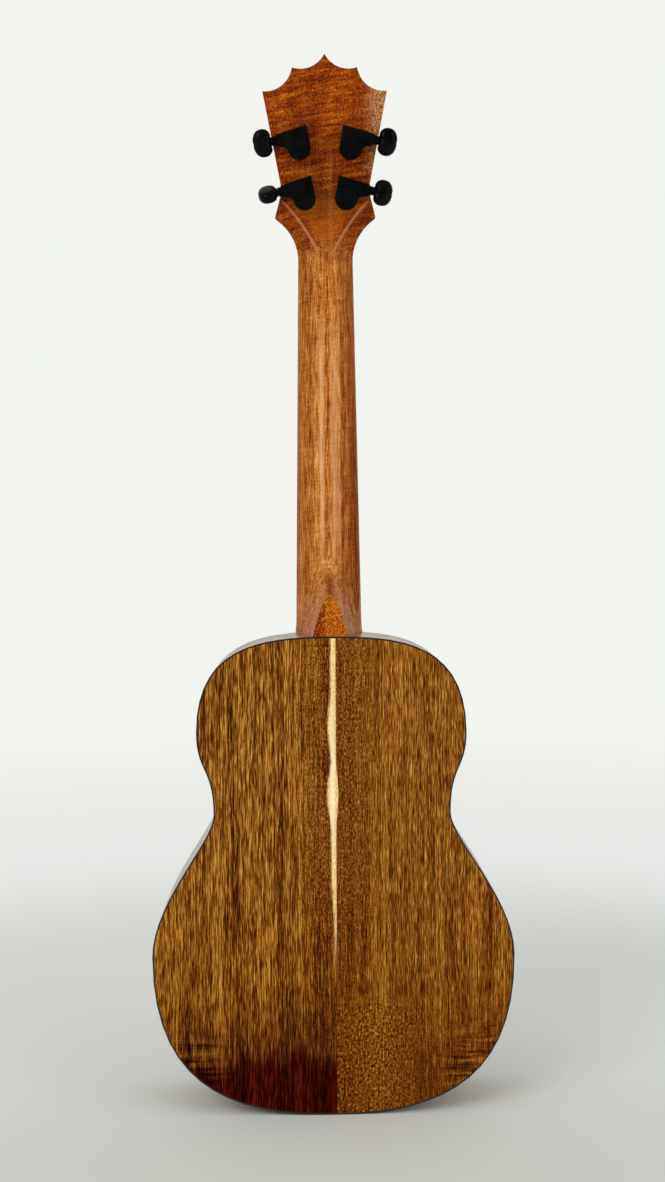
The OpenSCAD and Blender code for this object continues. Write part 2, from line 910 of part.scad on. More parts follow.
module knob(i) {
    color(black_metal) along_shaft(i) difference() {
        rotate([knob_turns[i], 0, 0]) loft([for (k = [0:knob_rings]) knob_ring(k)]);
        translate([knob_in - 1, 0, 0]) rotate([0, 90, 0]) cylinder(h = 8, r = shaft_r);
        translate([knob_in, 0, 0]) rotate([0, 90, 0]) cylinder(h = 30, r = 0.8);
        translate([knob_in + knob_l - 1.4, 0, 0]) rotate([0, 90, 0]) cylinder(h = 5, r = 1.9);
    }
}

module knob_screw(i) {
    color(steel) along_shaft(i) rotate([0, 90, 0]) {
        translate([0, 0, knob_in + 7]) cylinder(h = knob_l - 8.4, r = 0.8);
        translate([0, 0, knob_in + knob_l - 1.4]) difference() {
            cylinder(h = 1.2, r = 1.9);
            translate([-0.3, -3, 0.7]) cube([0.6, 6, 1]);
        }
    }
}

module post(i) {
    seat_z = worm_z - wheel_t / 2;
    color(steel) tuner_frame(i) difference() {
        union() {
            translate([0, 0, seat_z - 1.5]) cylinder(h = wheel_t + 1.5, r = 2.4);
            translate([0, 0, seat_z + wheel_t]) cylinder(h = 13 - seat_z - wheel_t, r = post_r);
        }
        translate([0, 0, winding_z - 1.6]) difference() {
            cylinder(h = 3.2, r = 5);
            translate([0, 0, -1]) cylinder(h = 5.2, r = waist_r);
        }
        translate([-5, 0, winding_z + 2.6]) rotate([0, 90, 0]) cylinder(h = 10, r = 0.7, $fn = 24);
    }
}

function tooth(r, a) = [r * cos(a), r * sin(a)];

module wheel_2d() {
    step = 360 / wheel_teeth;
    tip = tooth_half - tooth_h * tan(pressure);
    polygon([
        for (k = [0:wheel_teeth - 1])
            let(a = 90 + step * (k + 0.5))
            each [
                tooth(wheel_r - tooth_gap, a - 9.5),
                tooth(wheel_r, a - tooth_half / wheel_r * 180 / PI),
                tooth(wheel_r + tooth_h, a - tip / wheel_r * 180 / PI),
                tooth(wheel_r + tooth_h, a + tip / wheel_r * 180 / PI),
                tooth(wheel_r, a + tooth_half / wheel_r * 180 / PI),
                tooth(wheel_r - tooth_gap, a + 9.5)
            ]
    ]);
}

// The teeth lean with the worm's lead, and the middle of the wheel is in phase with the worm
module worm_wheel(i) {
    lead = worm_pitch / (2 * PI * worm_r);
    lean = post_side(i) * wheel_t * lead / wheel_r * 180 / PI;
    color(brass) tuner_frame(i) translate([0, 0, worm_z - wheel_t / 2]) difference() {
        rotate([0, 0, -lean / 2]) linear_extrude(wheel_t, twist = -lean, slices = 3) wheel_2d();
        translate([0, 0, -1]) cylinder(h = wheel_t + 2, r = 2.4);
    }
}

module string_winding(i) {
    color(bone) tuner_frame(i)
        for (turn = [-1:1]) translate([0, 0, winding_z + turn * 2 * string_r])
            rotate_extrude() translate([winding_r, 0]) circle(r = string_r - 0.01, $fn = 16);
}

back_plate_left();
back_plate_right();
back_binding();
back_seam_strip();
back_braces();
back_linings();
front_linings();
side_left();
side_right();
end_graft();
neck_block();
tail_block();
soundboard_left();
soundboard_right();
front_binding();
rosette();
soundboard_braces();
bridge_patch();
bridge();
saddle();
neck();
headplate();
fretboard();
frets();
fret_markers();
nut();
neck_bolt();
neck_insert();
strings();
tuner_covers();
tuner_bushings();
tuner_pins();
tuner_housing(0);  // tuner_housing_g
tuner_housing(1);  // tuner_housing_c
tuner_housing(2);  // tuner_housing_e
tuner_housing(3);  // tuner_housing_a
worm_shaft(0);  // worm_shaft_g
worm_shaft(1);  // worm_shaft_c
worm_shaft(2);  // worm_shaft_e
worm_shaft(3);  // worm_shaft_a
knob(0);  // knob_g
knob(1);  // knob_c
knob(2);  // knob_e
knob(3);  // knob_a
knob_screw(0);  // knob_screw_g
knob_screw(1);  // knob_screw_c
knob_screw(2);  // knob_screw_e
knob_screw(3);  // knob_screw_a
post(0);  // post_g
post(1);  // post_c
post(2);  // post_e
post(3);  // post_a
worm_wheel(0);  // worm_wheel_g
worm_wheel(1);  // worm_wheel_c
worm_wheel(2);  // worm_wheel_e
worm_wheel(3);  // worm_wheel_a
string_winding(0);  // string_winding_g
string_winding(1);  // string_winding_c
string_winding(2);  // string_winding_e
string_winding(3);  // string_winding_a
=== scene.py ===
"""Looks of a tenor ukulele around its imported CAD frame.

Metres in Blender, millimetres in the shape functions. +Z runs up the neck, the soundboard faces
-Y, the back faces +Y, and the origin is at the nut on the glue face of the fretboard.
"""

import json
import math

import bmesh
import bpy
from mathutils import Matrix, Vector

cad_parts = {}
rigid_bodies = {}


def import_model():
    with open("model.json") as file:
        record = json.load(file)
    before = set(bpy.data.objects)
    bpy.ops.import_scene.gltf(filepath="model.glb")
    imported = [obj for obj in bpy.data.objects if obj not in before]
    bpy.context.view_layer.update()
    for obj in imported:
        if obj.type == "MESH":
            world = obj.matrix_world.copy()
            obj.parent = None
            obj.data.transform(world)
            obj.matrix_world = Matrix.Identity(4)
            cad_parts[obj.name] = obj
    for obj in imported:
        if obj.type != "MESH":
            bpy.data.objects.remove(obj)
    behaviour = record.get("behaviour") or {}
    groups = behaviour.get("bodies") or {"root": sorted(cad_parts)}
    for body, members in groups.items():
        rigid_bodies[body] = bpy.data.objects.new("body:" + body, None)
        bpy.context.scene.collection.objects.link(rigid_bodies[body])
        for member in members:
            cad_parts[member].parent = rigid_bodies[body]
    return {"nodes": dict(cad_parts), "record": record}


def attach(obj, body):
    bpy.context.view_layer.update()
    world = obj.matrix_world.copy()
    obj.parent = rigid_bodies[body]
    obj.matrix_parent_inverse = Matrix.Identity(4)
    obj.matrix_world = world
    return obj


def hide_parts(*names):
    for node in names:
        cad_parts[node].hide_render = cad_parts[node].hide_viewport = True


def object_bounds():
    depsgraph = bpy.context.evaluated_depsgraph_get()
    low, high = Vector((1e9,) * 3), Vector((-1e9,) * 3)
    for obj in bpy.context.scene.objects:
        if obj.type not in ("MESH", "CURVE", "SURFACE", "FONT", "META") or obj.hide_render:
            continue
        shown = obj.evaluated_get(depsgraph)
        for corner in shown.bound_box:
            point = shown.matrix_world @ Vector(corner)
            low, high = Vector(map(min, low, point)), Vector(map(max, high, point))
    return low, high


for leftover in list(bpy.data.objects):
    bpy.data.objects.remove(leftover)

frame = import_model()
nodes = frame["nodes"]
cad_low, cad_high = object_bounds()
MM = 0.001

# ---- Sizes shared with the CAD, in mm ----

SCALE, JOINT_FRET, BODY_L = 432.0, 14, 297.5
JOINT_Z = -SCALE * (1 - 2 ** (-JOINT_FRET / 12))
TAIL_Z = JOINT_Z - BODY_L
BACK_SLOPE = 12.0 / BODY_L
# The outline's top curve, across from the middle and up from the tail
TOP_ACROSS = (0.0, 40.0, 84.5, 84.5)
TOP_UP = (BODY_L, BODY_L, 295.0, 238.0)
NUT_HALF, JOINT_HALF = 18.0, 21.6
DEPTH_NUT, DEPTH_HEEL = 13.2, 15.0
HEEL_CAP_HALF, HEEL_CAP_L = 11.2, 26.0
HEAD_START, HEAD_ANGLE, HEAD_T = 5.0, math.radians(12), 13.0
NARROW_HALF, NARROW_AT = 27.9, 49.0
CROWN_TIP, CROWN_HALF = 133.0, 39.5
SIDE_SLOPE = (CROWN_HALF - NARROW_HALF) / 61.2
HEEL_APEX = JOINT_Z + HEEL_CAP_L
HEEL_START = HEEL_APEX + 28
HEEL_Y = 59.5
LOFT_END = JOINT_Z - 4
BOLT_Y, BOLT_HOLE_R = 30.0, 4.5
BUSHING_HOLE_R = 4.25
SCALLOP_R = 17.3

# ---- Camera and lights ----

CAMERA_AT = Vector((0.0165, 1.066, -0.1797))
CAMERA_PITCH = math.radians(1.781)
CAMERA_YAW = math.radians(-1.026)
CAMERA_ROLL = math.radians(-0.55)
LENS = 49.127
# Where both lights point
LIT_AT = (0, 0.03, -0.2)


def make_camera():
    data = bpy.data.cameras.new("camera")
    data.lens = LENS
    data.sensor_width = 36
    data.clip_start = 0.05
    data.clip_end = 60
    camera = bpy.data.objects.new("camera", data)
    bpy.context.scene.collection.objects.link(camera)
    ahead = Vector((
        math.sin(CAMERA_YAW) * math.cos(CAMERA_PITCH),
        -math.cos(CAMERA_YAW) * math.cos(CAMERA_PITCH),
        -math.sin(CAMERA_PITCH),
    ))
    right = ahead.cross(Vector((0, 0, 1))).normalized()
    up = right.cross(ahead)
    c, s = math.cos(CAMERA_ROLL), math.sin(CAMERA_ROLL)
    x, y = c * right + s * up, c * up - s * right
    turn = Matrix((x, y, -ahead)).transposed()
    camera.matrix_world = Matrix.Translation(CAMERA_AT) @ turn.to_4x4()
    bpy.context.scene.camera = camera


def area_light(name, at, aim, size, watts):
    data = bpy.data.lights.new(name, "AREA")
    data.shape = "DISK"
    data.size = size
    data.energy = watts
    light = bpy.data.objects.new(name, data)
    light.location = at
    way = Vector(aim) - Vector(at)
    light.rotation_euler = way.to_track_quat("-Z", "Y").to_euler()
    bpy.context.scene.collection.objects.link(light)


# ---- Node helper ----


def rgb(r, g, b):
    """An sRGB colour, 0 to 255, as the linear colour that nodes take."""
    return tuple(
        c / 12.92 if c <= 0.04045 else ((c + 0.055) / 1.055) ** 2.4
        for c in (r / 255, g / 255, b / 255)
    ) + (1.0,)


class Nodes:
    """Adds nodes to one tree. Each call returns the socket that holds its result."""

    def __init__(self, tree):
        self.tree = tree
        tree.nodes.clear()

    def add(self, kind, inputs=None, output=0, **settings):
        node = self.tree.nodes.new("ShaderNode" + kind)
        for key, value in settings.items():
            setattr(node, key, value)
        for key, value in (inputs or {}).items():
            self.plug(value, node.inputs[key])
        return node.outputs[output]

    def plug(self, value, socket):
        if isinstance(value, bpy.types.NodeSocket):
            self.tree.links.new(value, socket)
        else:
            socket.default_value = value

    def math(self, operation, a, b=0.0, c=0.0):
        return self.add("Math", {0: a, 1: b, 2: c}, operation=operation)

    def plus(self, a, b):
        return self.math("ADD", a, b)

    def minus(self, a, b):
        return self.math("SUBTRACT", a, b)

    def times(self, a, b):
        return self.math("MULTIPLY", a, b)

    def step(self, value, low, high, to_low=0.0, to_high=1.0):
        """Runs smoothly from to_low to to_high as value runs from low to high."""
        return self.add(
            "MapRange", {0: value, 1: low, 2: high, 3: to_low, 4: to_high},
            interpolation_type="SMOOTHSTEP",
        )

    def bump_at(self, value, centre, width):
        """1 at the centre, smoothly down to 0 at the distance width."""
        return self.step(self.math("ABSOLUTE", self.minus(value, centre)), 0.0, width, 1.0, 0.0)

    def vector(self, x, y, z):
        return self.add("CombineXYZ", {0: x, 1: y, 2: z})

    def noise(self, x, y, z, detail=2.0, roughness=0.5, distortion=0.0):
        """Noise of one unit's size, about 0.5."""
        return self.add("TexNoise", {
            "Vector": self.vector(x, y, z), "Scale": 1.0, "Detail": detail,
            "Roughness": roughness, "Distortion": distortion,
        })

    def ramp(self, value, stops):
        node = self.tree.nodes.new("ShaderNodeValToRGB")
        self.plug(value, node.inputs[0])
        elements = node.color_ramp.elements
        while len(elements) < len(stops):
            elements.new(0.5)
        for element, (place, colour) in zip(elements, stops):
            element.position = place
            element.color = colour
        return node.outputs[0]

    def mix(self, factor, a, b, blend="MIX"):
        node = self.tree.nodes.new("ShaderNodeMix")
        node.data_type = "RGBA"
        node.blend_type = blend
        self.plug(factor, node.inputs[0])
        self.plug(a, node.inputs[6])
        self.plug(b, node.inputs[7])
        return node.outputs[2]


class Finish(Nodes):
    """A material with one principled surface."""

    def __init__(self, name, **settings):
        self.material = bpy.data.materials.new(name)
        self.material.use_nodes = True
        super().__init__(self.material.node_tree)
        surface = self.tree.nodes.new("ShaderNodeBsdfPrincipled")
        output = self.tree.nodes.new("ShaderNodeOutputMaterial")
        self.tree.links.new(surface.outputs[0], output.inputs[0])
        self.surface = surface
        for key, value in settings.items():
            surface.inputs[key.replace("_", " ")].default_value = value
        parts = self.tree.nodes.new("ShaderNodeSeparateXYZ")
        self.tree.links.new(self.add("TexCoord", output="Object"), parts.inputs[0])
        # The point in millimetres
        self.x, self.y, self.z = (self.times(parts.outputs[k], 1000.0) for k in range(3))

    def look(self, colour=None, roughness=None, height=None, depth=0.05):
        if colour is not None:
            self.plug(colour, self.surface.inputs["Base Color"])
        if roughness is not None:
            self.plug(roughness, self.surface.inputs["Roughness"])
        if height is not None:
            bump = self.add("Bump", {"Strength": 1.0, "Distance": depth * MM, "Height": height})
            self.plug(bump, self.surface.inputs["Normal"])
        return self.material


# ---- Materials ----

KOA_STOPS = [
    (0.0, rgb(32, 7, 0)), (0.28, rgb(79, 34, 1)), (0.5, rgb(124, 67, 8)),
    (0.72, rgb(163, 102, 26)), (1.0, rgb(211, 154, 72)),
]


def grain(n, across, along, depth, fine=1.0):
    """Fine grain of koa: streaks across a board at `across`, running in the way of `along`."""
    sway = n.times(n.minus(n.noise(n.times(across, 0.04), depth, n.times(along, 0.009)), 0.5), 5.0)
    at = n.plus(across, sway)
    streaks = n.noise(n.times(at, 1.4), depth, n.times(along, 0.02), 3.0, 0.65)
    threads = n.noise(n.times(at, 2.4), depth, n.times(along, 0.11), 2.0, 0.65)
    bands = n.noise(n.times(at, 0.14), depth, n.times(along, 0.003), 3.0, 0.65)
    pores = n.step(n.noise(n.times(at, 3.4), depth, n.times(along, 0.3), 1.0), 0.6, 0.72)
    tone = n.plus(0.5, n.times(n.minus(streaks, 0.5), 1.6 * fine))
    tone = n.plus(tone, n.times(n.minus(threads, 0.5), 2.7 * fine))
    tone = n.plus(tone, n.times(n.minus(bands, 0.5), 1.0))
    return tone, pores


def koa_back():
    n = Finish("koa_back", Specular_IOR_Level=0.035)
    # The painted seam leans a little from the middle line
    x, z = n.plus(n.plus(n.x, 1.2), n.times(n.minus(n.z, TAIL_Z), 0.0054)), n.z
    mirrored = n.math("ABSOLUTE", x)
    left = n.step(x, -0.3, 0.3)
    depth = n.times(left, 3.7)
    tone, pores = grain(n, mirrored, z, depth)
    # Mottled wood beside the seam and low on the right half, in place of long streaks
    mottle = n.noise(n.times(x, 0.95), 0.0, n.times(z, 0.5), 3.0, 0.65)
    beside = n.times(n.step(mirrored, 8.0, 34.0, 1.0, 0.0), n.step(z, -440.0, -400.0, 0.35, 0.75))
    low_right = n.times(n.step(z, -478.0, -455.0, 1.0, 0.0), n.minus(1.0, left))
    low_right = n.times(low_right, n.step(mirrored, 34.0, 60.0, 1.0, 0.35))
    mottled = n.math("MAXIMUM", beside, low_right)
    speckle = n.plus(0.53, n.times(n.minus(mottle, 0.5), 3.8))
    tone = n.plus(n.times(tone, n.minus(1.0, n.times(mottled, 0.7))),
                  n.times(speckle, n.times(mottled, 0.7)))
    # The grey-brown wood beside the sapwood is a little darker
    tone = n.minus(tone, n.step(mirrored, 4.0, 22.0, 0.06, 0.0))
    # Curl: short bright and dark bars across the grain near both lower corners
    curl = n.noise(n.times(mirrored, 0.035), depth, n.times(z, 0.34), 2.0, 0.6)
    corner = n.times(n.step(mirrored, 58.0, 84.0), n.step(z, -512.0, -470.0, 1.0, 0.0))
    tone = n.plus(tone, n.times(n.times(n.minus(curl, 0.5), 2.2), corner))
    colour = n.ramp(tone, KOA_STOPS)
    colour = n.mix(n.times(pores, 0.55), colour, rgb(52, 24, 8))
    # The wood grows a little darker and warmer toward the tail
    lower = n.step(z, -500.0, -330.0, 1.0, 0.0)
    colour = n.mix(lower, colour, n.mix(1.0, colour, rgb(247, 238, 200), "MULTIPLY"))
    greyed = n.times(n.step(mirrored, 3.0, 26.0, 0.26, 0.0), n.step(z, -430.0, -380.0))
    colour = n.mix(greyed, colour, n.mix(1.0, colour, rgb(196, 196, 255), "MULTIPLY"))
    # The lower left quarter is darker: dark figure, with the way this bookmatched half catches the
    # light painted in as fixed shade; the right half has one smaller patch
    drift = n.minus(n.noise(n.times(mirrored, 0.03), depth, n.times(z, 0.03), 2.0), 0.5)
    cloud = n.times(drift, 34.0)
    ray = n.times(n.minus(n.noise(n.times(mirrored, 0.12), depth, n.times(z, 0.006)), 0.5), 30.0)
    height = n.plus(z, n.plus(cloud, ray))
    wing = n.step(mirrored, 66.0, 88.0, 0.0, 8.0)
    deep_left = n.step(n.plus(height, wing), -512.0, -477.0, 1.0, 0.0)
    dim_left = n.step(n.plus(height, wing), -500.0, -446.0, 0.6, 0.0)
    dark_left = n.times(n.math("MAXIMUM", deep_left, dim_left), left)
    patch = n.times(n.bump_at(n.plus(mirrored, n.times(cloud, 0.3)), 60.0, 30.0),
                    n.bump_at(height, -499.0, 24.0))
    dark_right = n.times(n.times(patch, n.minus(1.0, left)), 0.5)
    dusk = n.times(
        n.step(height, -520.0, -440.0, 0.42, 0.0), n.step(mirrored, 20.0, 60.0, 0.35, 1.0)
    )
    dark_right = n.math("MAXIMUM", dark_right, n.times(dusk, n.minus(1.0, left)))
    dark = n.math("MAXIMUM", dark_left, dark_right)
    deep_tint = n.mix(n.step(tone, 0.3, 0.9), rgb(108, 20, 10), rgb(132, 60, 22))
    deep = n.mix(1.0, colour, deep_tint, "MULTIPLY")
    colour = n.mix(dark, colour, deep)
    # Pale sapwood on the seam, widest above the waist, fading out below it
    wobble = n.times(n.minus(n.noise(n.times(x, 0.4), 0.0, n.times(z, 0.13), 3.0, 0.7), 0.5), 3.4)
    width = n.plus(3.0, n.times(n.bump_at(z, -295.0, 24.0), 1.8))
    width = n.plus(width, n.times(n.bump_at(z, -338.0, 22.0), 2.4))
    width = n.times(width, n.step(z, -420.0, -385.0, 0.4, 1.0))
    sap = n.step(n.plus(n.minus(x, width), wobble), -0.9, 0.9, 1.0, 0.0)
    sap = n.times(sap, n.step(n.plus(x, n.times(n.bump_at(z, -338.0, 24.0), 1.4)), -0.5, 0.1))
    sap = n.times(sap, n.step(z, -452.0, -405.0, 0.0, 1.0))
    sap_colour = n.mix(n.step(tone, 0.25, 0.75), rgb(222, 180, 106), rgb(255, 228, 160))
    core = n.times(n.bump_at(x, 2.0, 2.6), n.bump_at(z, -330.0, 70.0))
    sap_colour = n.mix(n.times(core, 0.75), sap_colour, rgb(255, 243, 212))
    colour = n.mix(n.times(sap, 0.95), colour, sap_colour)
    seam = n.times(n.bump_at(x, -0.1, 0.35), n.step(z, -470.0, -440.0, 0.5, 0.15))
    colour = n.mix(seam, colour, rgb(40, 16, 6))
    rough = n.step(tone, 0.2, 0.8, 0.34, 0.26)
    return n.look(colour, rough, n.minus(tone, n.times(pores, 0.6)), 0.02)


def koa_plain(name, across, gloss, shade=1.0):
    """Koa without the sapwood, for the sides and the soundboard."""
    n = Finish(name, Specular_IOR_Level=0.3, Coat_Weight=gloss, Coat_Roughness=0.3)
    if across == "sides":
        length = n.plus(n.x, n.times(n.z, 0.8))
        tone, pores = grain(n, n.y, length, 0.0)
        curl = n.noise(n.times(n.y, 0.03), 0.0, n.times(length, 0.16), 2.0)
        tone = n.plus(tone, n.times(n.minus(curl, 0.5), 0.7))
        seam = None
    else:
        mirrored = n.math("ABSOLUTE", n.x)
        tone, pores = grain(n, mirrored, n.z, n.step(n.x, -0.2, 0.2, 0.0, 2.0))
        curl = n.noise(n.times(mirrored, 0.03), 0.0, n.times(n.z, 0.1), 2.0)
        tone = n.plus(tone, n.times(n.minus(curl, 0.5), 0.6))
        seam = n.times(n.bump_at(n.x, 0.0, 0.3), 0.5)
    colour = n.ramp(tone, KOA_STOPS)
    colour = n.mix(n.times(pores, 0.5), colour, rgb(52, 24, 8))
    if seam is not None:
        colour = n.mix(seam, colour, rgb(50, 22, 8))
    if shade != 1.0:
        colour = n.mix(1.0, colour, (shade, shade, shade, 1.0), "MULTIPLY")
    return n.look(colour, n.step(tone, 0.2, 0.8, 0.34, 0.24), tone, 0.02)


def neck_wood():
    """Curly reddish koa of the neck, with end grain on the heel's flat end."""
    n = Finish("neck_koa", Specular_IOR_Level=0.05)
    x, y, z = n.x, n.y, n.z
    on_head = n.step(z, -6.0, 26.0)
    lean = n.times(x, 0.16)
    on_neck = n.minus(1.0, on_head)
    slant = n.plus(z, lean)
    curl = n.noise(n.times(x, 0.05), n.times(y, 0.03), n.times(slant, 0.36), 3.0, 0.55, 0.35)
    fiddle = n.noise(n.times(x, 0.11), 0.0, n.times(z, 0.75), 2.0, 0.5)
    fine = n.noise(n.times(x, 1.1), n.times(y, 1.1), n.times(z, 0.075), 3.0, 0.6)
    bands = n.noise(n.times(x, 0.2), n.times(y, 0.2), n.times(z, 0.004), 3.0, 0.6)
    speck = n.noise(n.times(x, 1.3), n.times(y, 1.3), n.times(z, 0.8), 2.0, 0.6)
    tone = n.plus(0.5, n.times(n.minus(curl, 0.5), n.step(on_head, 0.0, 1.0, 0.3, 1.25)))
    tone = n.plus(tone, n.times(n.minus(fiddle, 0.5), n.step(on_head, 0.0, 1.0, 0.35, 0.35)))
    tone = n.plus(tone, n.times(n.minus(fine, 0.5), n.step(on_head, 0.0, 1.0, 1.9, 0.5)))
    tone = n.plus(tone, n.times(n.minus(speck, 0.5), n.step(on_head, 0.0, 1.0, 0.9, 1.6)))
    tone = n.plus(tone, n.times(n.minus(bands, 0.5), n.step(on_head, 0.0, 1.0, 1.0, 0.5)))
    stops_head = [
        (0.0, rgb(60, 12, 0)), (0.3, rgb(106, 35, 0)), (0.5, rgb(138, 54, 0)),
        (0.75, rgb(168, 79, 5)), (1.0, rgb(204, 120, 30)),
    ]
    stops_neck = [
        (0.0, rgb(98, 36, 4)), (0.3, rgb(148, 74, 16)), (0.5, rgb(182, 106, 38)),
        (0.75, rgb(206, 132, 62)), (1.0, rgb(230, 170, 106)),
    ]
    colour = n.mix(on_head, n.ramp(tone, stops_neck), n.ramp(tone, stops_head))
    pores = n.step(n.noise(n.times(x, 3.0), n.times(y, 3.0), n.times(z, 0.3), 1.0), 0.6, 0.72)
    colour = n.mix(n.times(pores, 0.35), colour, rgb(70, 26, 8))
    # Pale speckled wood along one edge of the head
    uneven = n.minus(n.noise(n.times(x, 0.2), 0.0, n.times(z, 0.08), 3.0, 0.6), 0.5)
    reach = n.plus(n.times(x, -1.0), n.times(uneven, 14.0))
    pale = n.times(n.step(reach, 23.0, 33.0), n.step(z, 44.0, 62.0))
    pale_tone = n.ramp(speck, [
        (0.36, rgb(128, 66, 20)), (0.5, rgb(166, 106, 56)), (0.64, rgb(210, 166, 124)),
    ])
    colour = n.mix(n.times(pale, 0.78), colour, pale_tone)
    # Painted highlights along the two ridges of the head, where their rounded edges catch the
    # light, and painted light on the flat face between them
    past = n.minus(z, 5.0)
    ridge = n.plus(4.2, n.times(past, n.plus(0.38, n.times(past, 0.009))))
    off_ridge = n.minus(n.math("ABSOLUTE", x), ridge)
    near_ears = n.times(n.step(z, 4.0, 20.0), n.step(z, 36.0, 50.0, 1.0, 0.0))
    # Painted light: the flat face between the ridges is brighter than the sloping ears beside it
    painted_light_between_ridges = n.times(n.step(off_ridge, -7.0, -1.0, 1.0, 0.0), near_ears)
    colour = n.mix(n.times(painted_light_between_ridges, 0.35), colour, rgb(184, 98, 18))
    # Painted highlight: a pale line on each ridge
    line = n.times(n.bump_at(off_ridge, 0.0, 1.5), n.step(z, 3.0, 12.0))
    line = n.times(line, n.step(z, 36.0, 42.0, 1.0, 0.0))
    colour = n.mix(n.times(line, 0.55), colour, rgb(220, 146, 104))
    # A faint paler line near the middle, from the upper neck up the head
    middle = n.times(n.bump_at(x, -3.4, 2.4), n.step(z, 50.0, 84.0, 1.0, 0.0))
    middle = n.times(middle, n.step(z, -40.0, 0.0))
    colour = n.mix(n.times(middle, 0.12), colour, rgb(214, 146, 84))
    # Along the neck: painted shade toward its edges, where the rounded neck turns from the light,
    # two painted highlight streaks, one dark streak
    sway = n.times(n.minus(n.noise(0.0, 0.0, n.times(z, 0.02), 2.0), 0.5), 3.0)
    at = n.plus(x, sway)
    shade = n.plus(n.step(x, 5.0, 17.0, 0.0, 0.6), n.step(x, -16.0, -4.0, 0.95, 0.0))
    shade = n.times(shade, n.step(z, HEEL_APEX - 14.0, HEEL_APEX + 20.0, 0.45, 1.0))
    darker = n.mix(1.0, colour, rgb(194, 164, 112), "MULTIPLY")
    colour = n.mix(n.times(shade, on_neck), colour, darker)
    # Painted highlights: two pale streaks where the neck's rounded back catches the light
    along = n.times(n.step(z, -70.0, -20.0, 1.0, 0.0), n.step(z, -212.0, -165.0))
    streak = n.times(n.bump_at(at, 3.8, 2.6), 0.6)
    streak = n.plus(streak, n.times(n.bump_at(at, -5.0, 4.6), 0.4))
    colour = n.mix(n.times(streak, along), colour, rgb(236, 176, 120))
    vein = n.times(n.bump_at(at, -9.4, 1.3), n.step(z, -150.0, -100.0, 1.0, 0.0))
    colour = n.mix(n.times(vein, 0.5), colour, rgb(104, 40, 14))
    # Painted shade: a dark wedge in the hollow just above the heel's tip
    low_edge = n.times(n.step(z, HEEL_APEX - 3.0, HEEL_APEX), on_neck)
    above = n.times(n.bump_at(x, 0.0, 3.6), low_edge)
    above = n.times(above, n.step(z, HEEL_APEX + 4.0, HEEL_APEX + 15.0, 1.0, 0.0))
    colour = n.mix(n.times(above, 0.8), colour, rgb(92, 34, 8))
    # End grain: pores seen end on
    cap_plane = n.plus(HEEL_Y, n.times(n.minus(JOINT_Z, z), BACK_SLOPE))
    on_cap = n.step(n.minus(y, cap_plane), -0.35, -0.1)
    dots = n.add("TexVoronoi", {"Vector": n.vector(x, n.times(y, 0.4), z), "Scale": 1.15})
    end_noise = n.noise(n.times(x, 0.8), 0.0, n.times(z, 1.3), 4.0, 0.7)
    end_tone = n.plus(n.times(end_noise, 0.9), n.times(dots, 0.5))
    end_tone = n.minus(end_tone, n.step(x, 1.0, 7.0, 0.0, 0.14))
    end = n.ramp(end_tone, [
        (0.46, rgb(84, 18, 0)), (0.66, rgb(150, 64, 0)), (0.86, rgb(208, 122, 30)),
    ])
    colour = n.mix(on_cap, colour, end)
    return n.look(colour, n.step(tone, 0.2, 0.8, 0.42, 0.33), tone, 0.02)


def soft_wood(name, dark, light, spread=1.0):
    """Plain straight-grained wood for the hidden parts."""
    n = Finish(name, Specular_IOR_Level=0.25, Roughness=0.6)
    rings = n.noise(n.times(n.x, 0.9 * spread), n.times(n.y, 0.9), n.times(n.z, 0.03), 3.0, 0.6)
    fibres = n.noise(n.times(n.x, 3.0), n.times(n.y, 3.0), n.times(n.z, 0.2), 2.0)
    tone = n.plus(n.times(rings, 0.7), n.times(fibres, 0.3))
    return n.look(n.ramp(tone, [(0.3, dark), (0.7, light)]), height=tone, depth=0.03)


def dark_wood():
    """Rosewood of the fretboard, bridge and head veneer: near black with brown streaks."""
    n = Finish("dark_fretwood", Specular_IOR_Level=0.35)
    streaks = n.noise(n.times(n.x, 0.55), n.times(n.y, 0.5), n.times(n.z, 0.02), 4.0, 0.65)
    holes = n.noise(n.times(n.x, 2.6), n.times(n.y, 2.6), n.times(n.z, 0.22), 1.0)
    pores = n.step(holes, 0.58, 0.7)
    colour = n.ramp(streaks, [
        (0.3, rgb(24, 13, 9)), (0.5, rgb(44, 26, 18)),
        (0.62, rgb(74, 45, 30)), (0.8, rgb(96, 62, 42)),
    ])
    colour = n.mix(n.times(pores, 0.7), colour, rgb(14, 8, 6))
    rough = n.step(pores, 0.0, 1.0, 0.38, 0.6)
    return n.look(colour, rough, n.times(pores, -1.0), 0.05)


def moulded(name, colour, rough_low, rough_high, scale, specular=0.5, depth=0.01, **more):
    """An even material with a fine texture in its sheen and surface."""
    n = Finish(name, Specular_IOR_Level=specular, **more)
    grit = n.noise(n.times(n.x, scale), n.times(n.y, scale), n.times(n.z, scale), 3.0, 0.6)
    wear = n.noise(n.times(n.x, 0.12), n.times(n.y, 0.12), n.times(n.z, 0.12), 3.0, 0.6)
    lifted = tuple(min(1.0, c * 1.35 + 0.002) for c in colour[:3]) + (1.0,)
    shade = n.mix(n.step(wear, 0.35, 0.65), colour, lifted)
    return n.look(shade, n.step(wear, 0.3, 0.7, rough_low, rough_high), grit, depth)


def brushed(name, colour, rough, axis):
    n = Finish(name, Metallic=1.0)
    stretch = [3.0, 3.0, 3.0]
    stretch[axis] = 0.15
    lines = n.noise(*(n.times(p, k) for p, k in zip((n.x, n.y, n.z), stretch)), 3.0, 0.6)
    darker = tuple(c * 0.8 for c in colour[:3]) + (1.0,)
    shade = n.mix(n.step(lines, 0.35, 0.65), darker, colour)
    return n.look(shade, n.step(lines, 0.3, 0.7, rough * 0.8, rough * 1.3), lines, 0.004)


